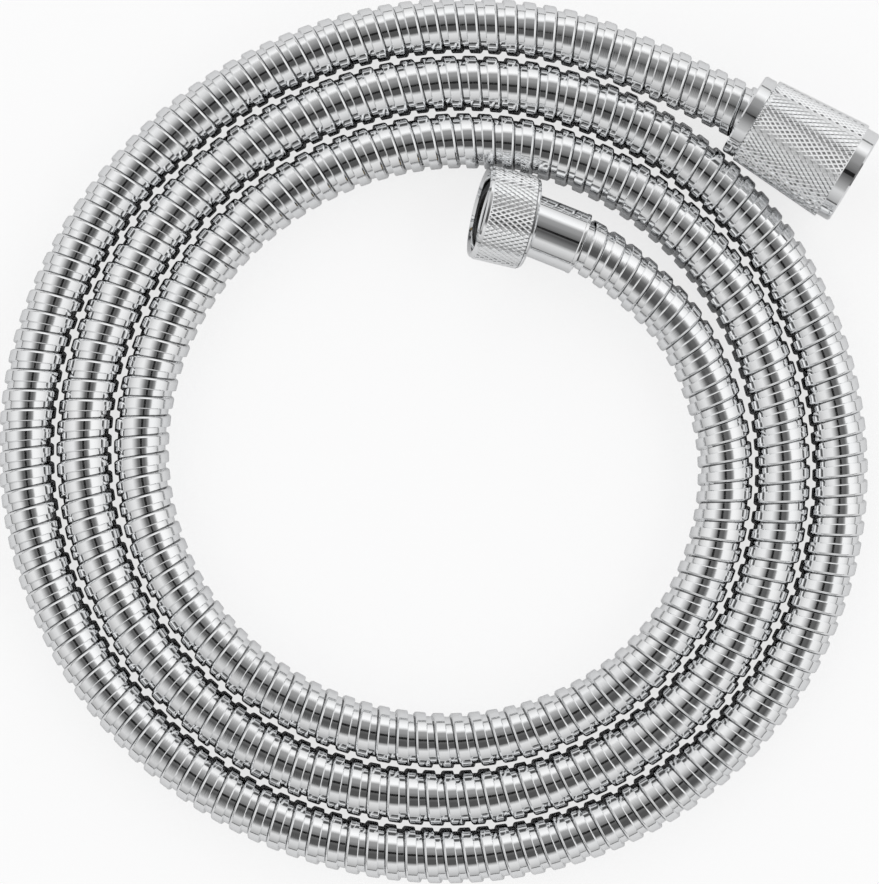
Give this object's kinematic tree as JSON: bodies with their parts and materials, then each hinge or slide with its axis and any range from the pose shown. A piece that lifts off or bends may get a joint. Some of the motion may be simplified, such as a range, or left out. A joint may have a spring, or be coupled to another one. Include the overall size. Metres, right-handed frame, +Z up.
{
  "type": "shower hose",
  "caption": "Chromed metal shower hose in an open flat coil, with a short knurled union nut at one end and a long conical nut at the other.",
  "frame": {"origin": "on the floor under the middle of the bounding box of the coiled hose", "axes": "+Z up from the floor, +X to the right and +Y away from the viewer in the picture, which looks straight down"},
  "size_m": [0.2228, 0.2252, 0.0262],
  "materials": {
    "chrome": "polished chrome plate",
    "brass": "turned",
    "washer_rubber": "matt",
    "tube_rubber": "smooth"
  },
  "bodies": {
    "hose": {"metal_hose": "chrome", "inner_tube": "tube_rubber", "mixer_sleeve": "chrome", "mixer_nipple": "brass", "handset_sleeve": "chrome", "handset_nipple": "brass"},
    "mixer_nut": {"union_nut": "chrome", "mixer_washer": "washer_rubber"},
    "handset_nut": {"cone_nut": "chrome", "handset_washer": "washer_rubber"}
  },
  "joints": [
    {"name": "union_nut_spin", "type": "hinge", "parent": "hose", "child": "mixer_nut", "pos_m": [0.02211, 0.05519, 0.0127], "axis": [-0.9656, 0.2141, 0.1478], "continuous": true},
    {"name": "cone_nut_spin", "type": "hinge", "parent": "hose", "child": "handset_nut", "pos_m": [0.07771, 0.0828, 0.01118], "axis": [0.8534, -0.5168, 0.0676], "continuous": true}
  ]
}
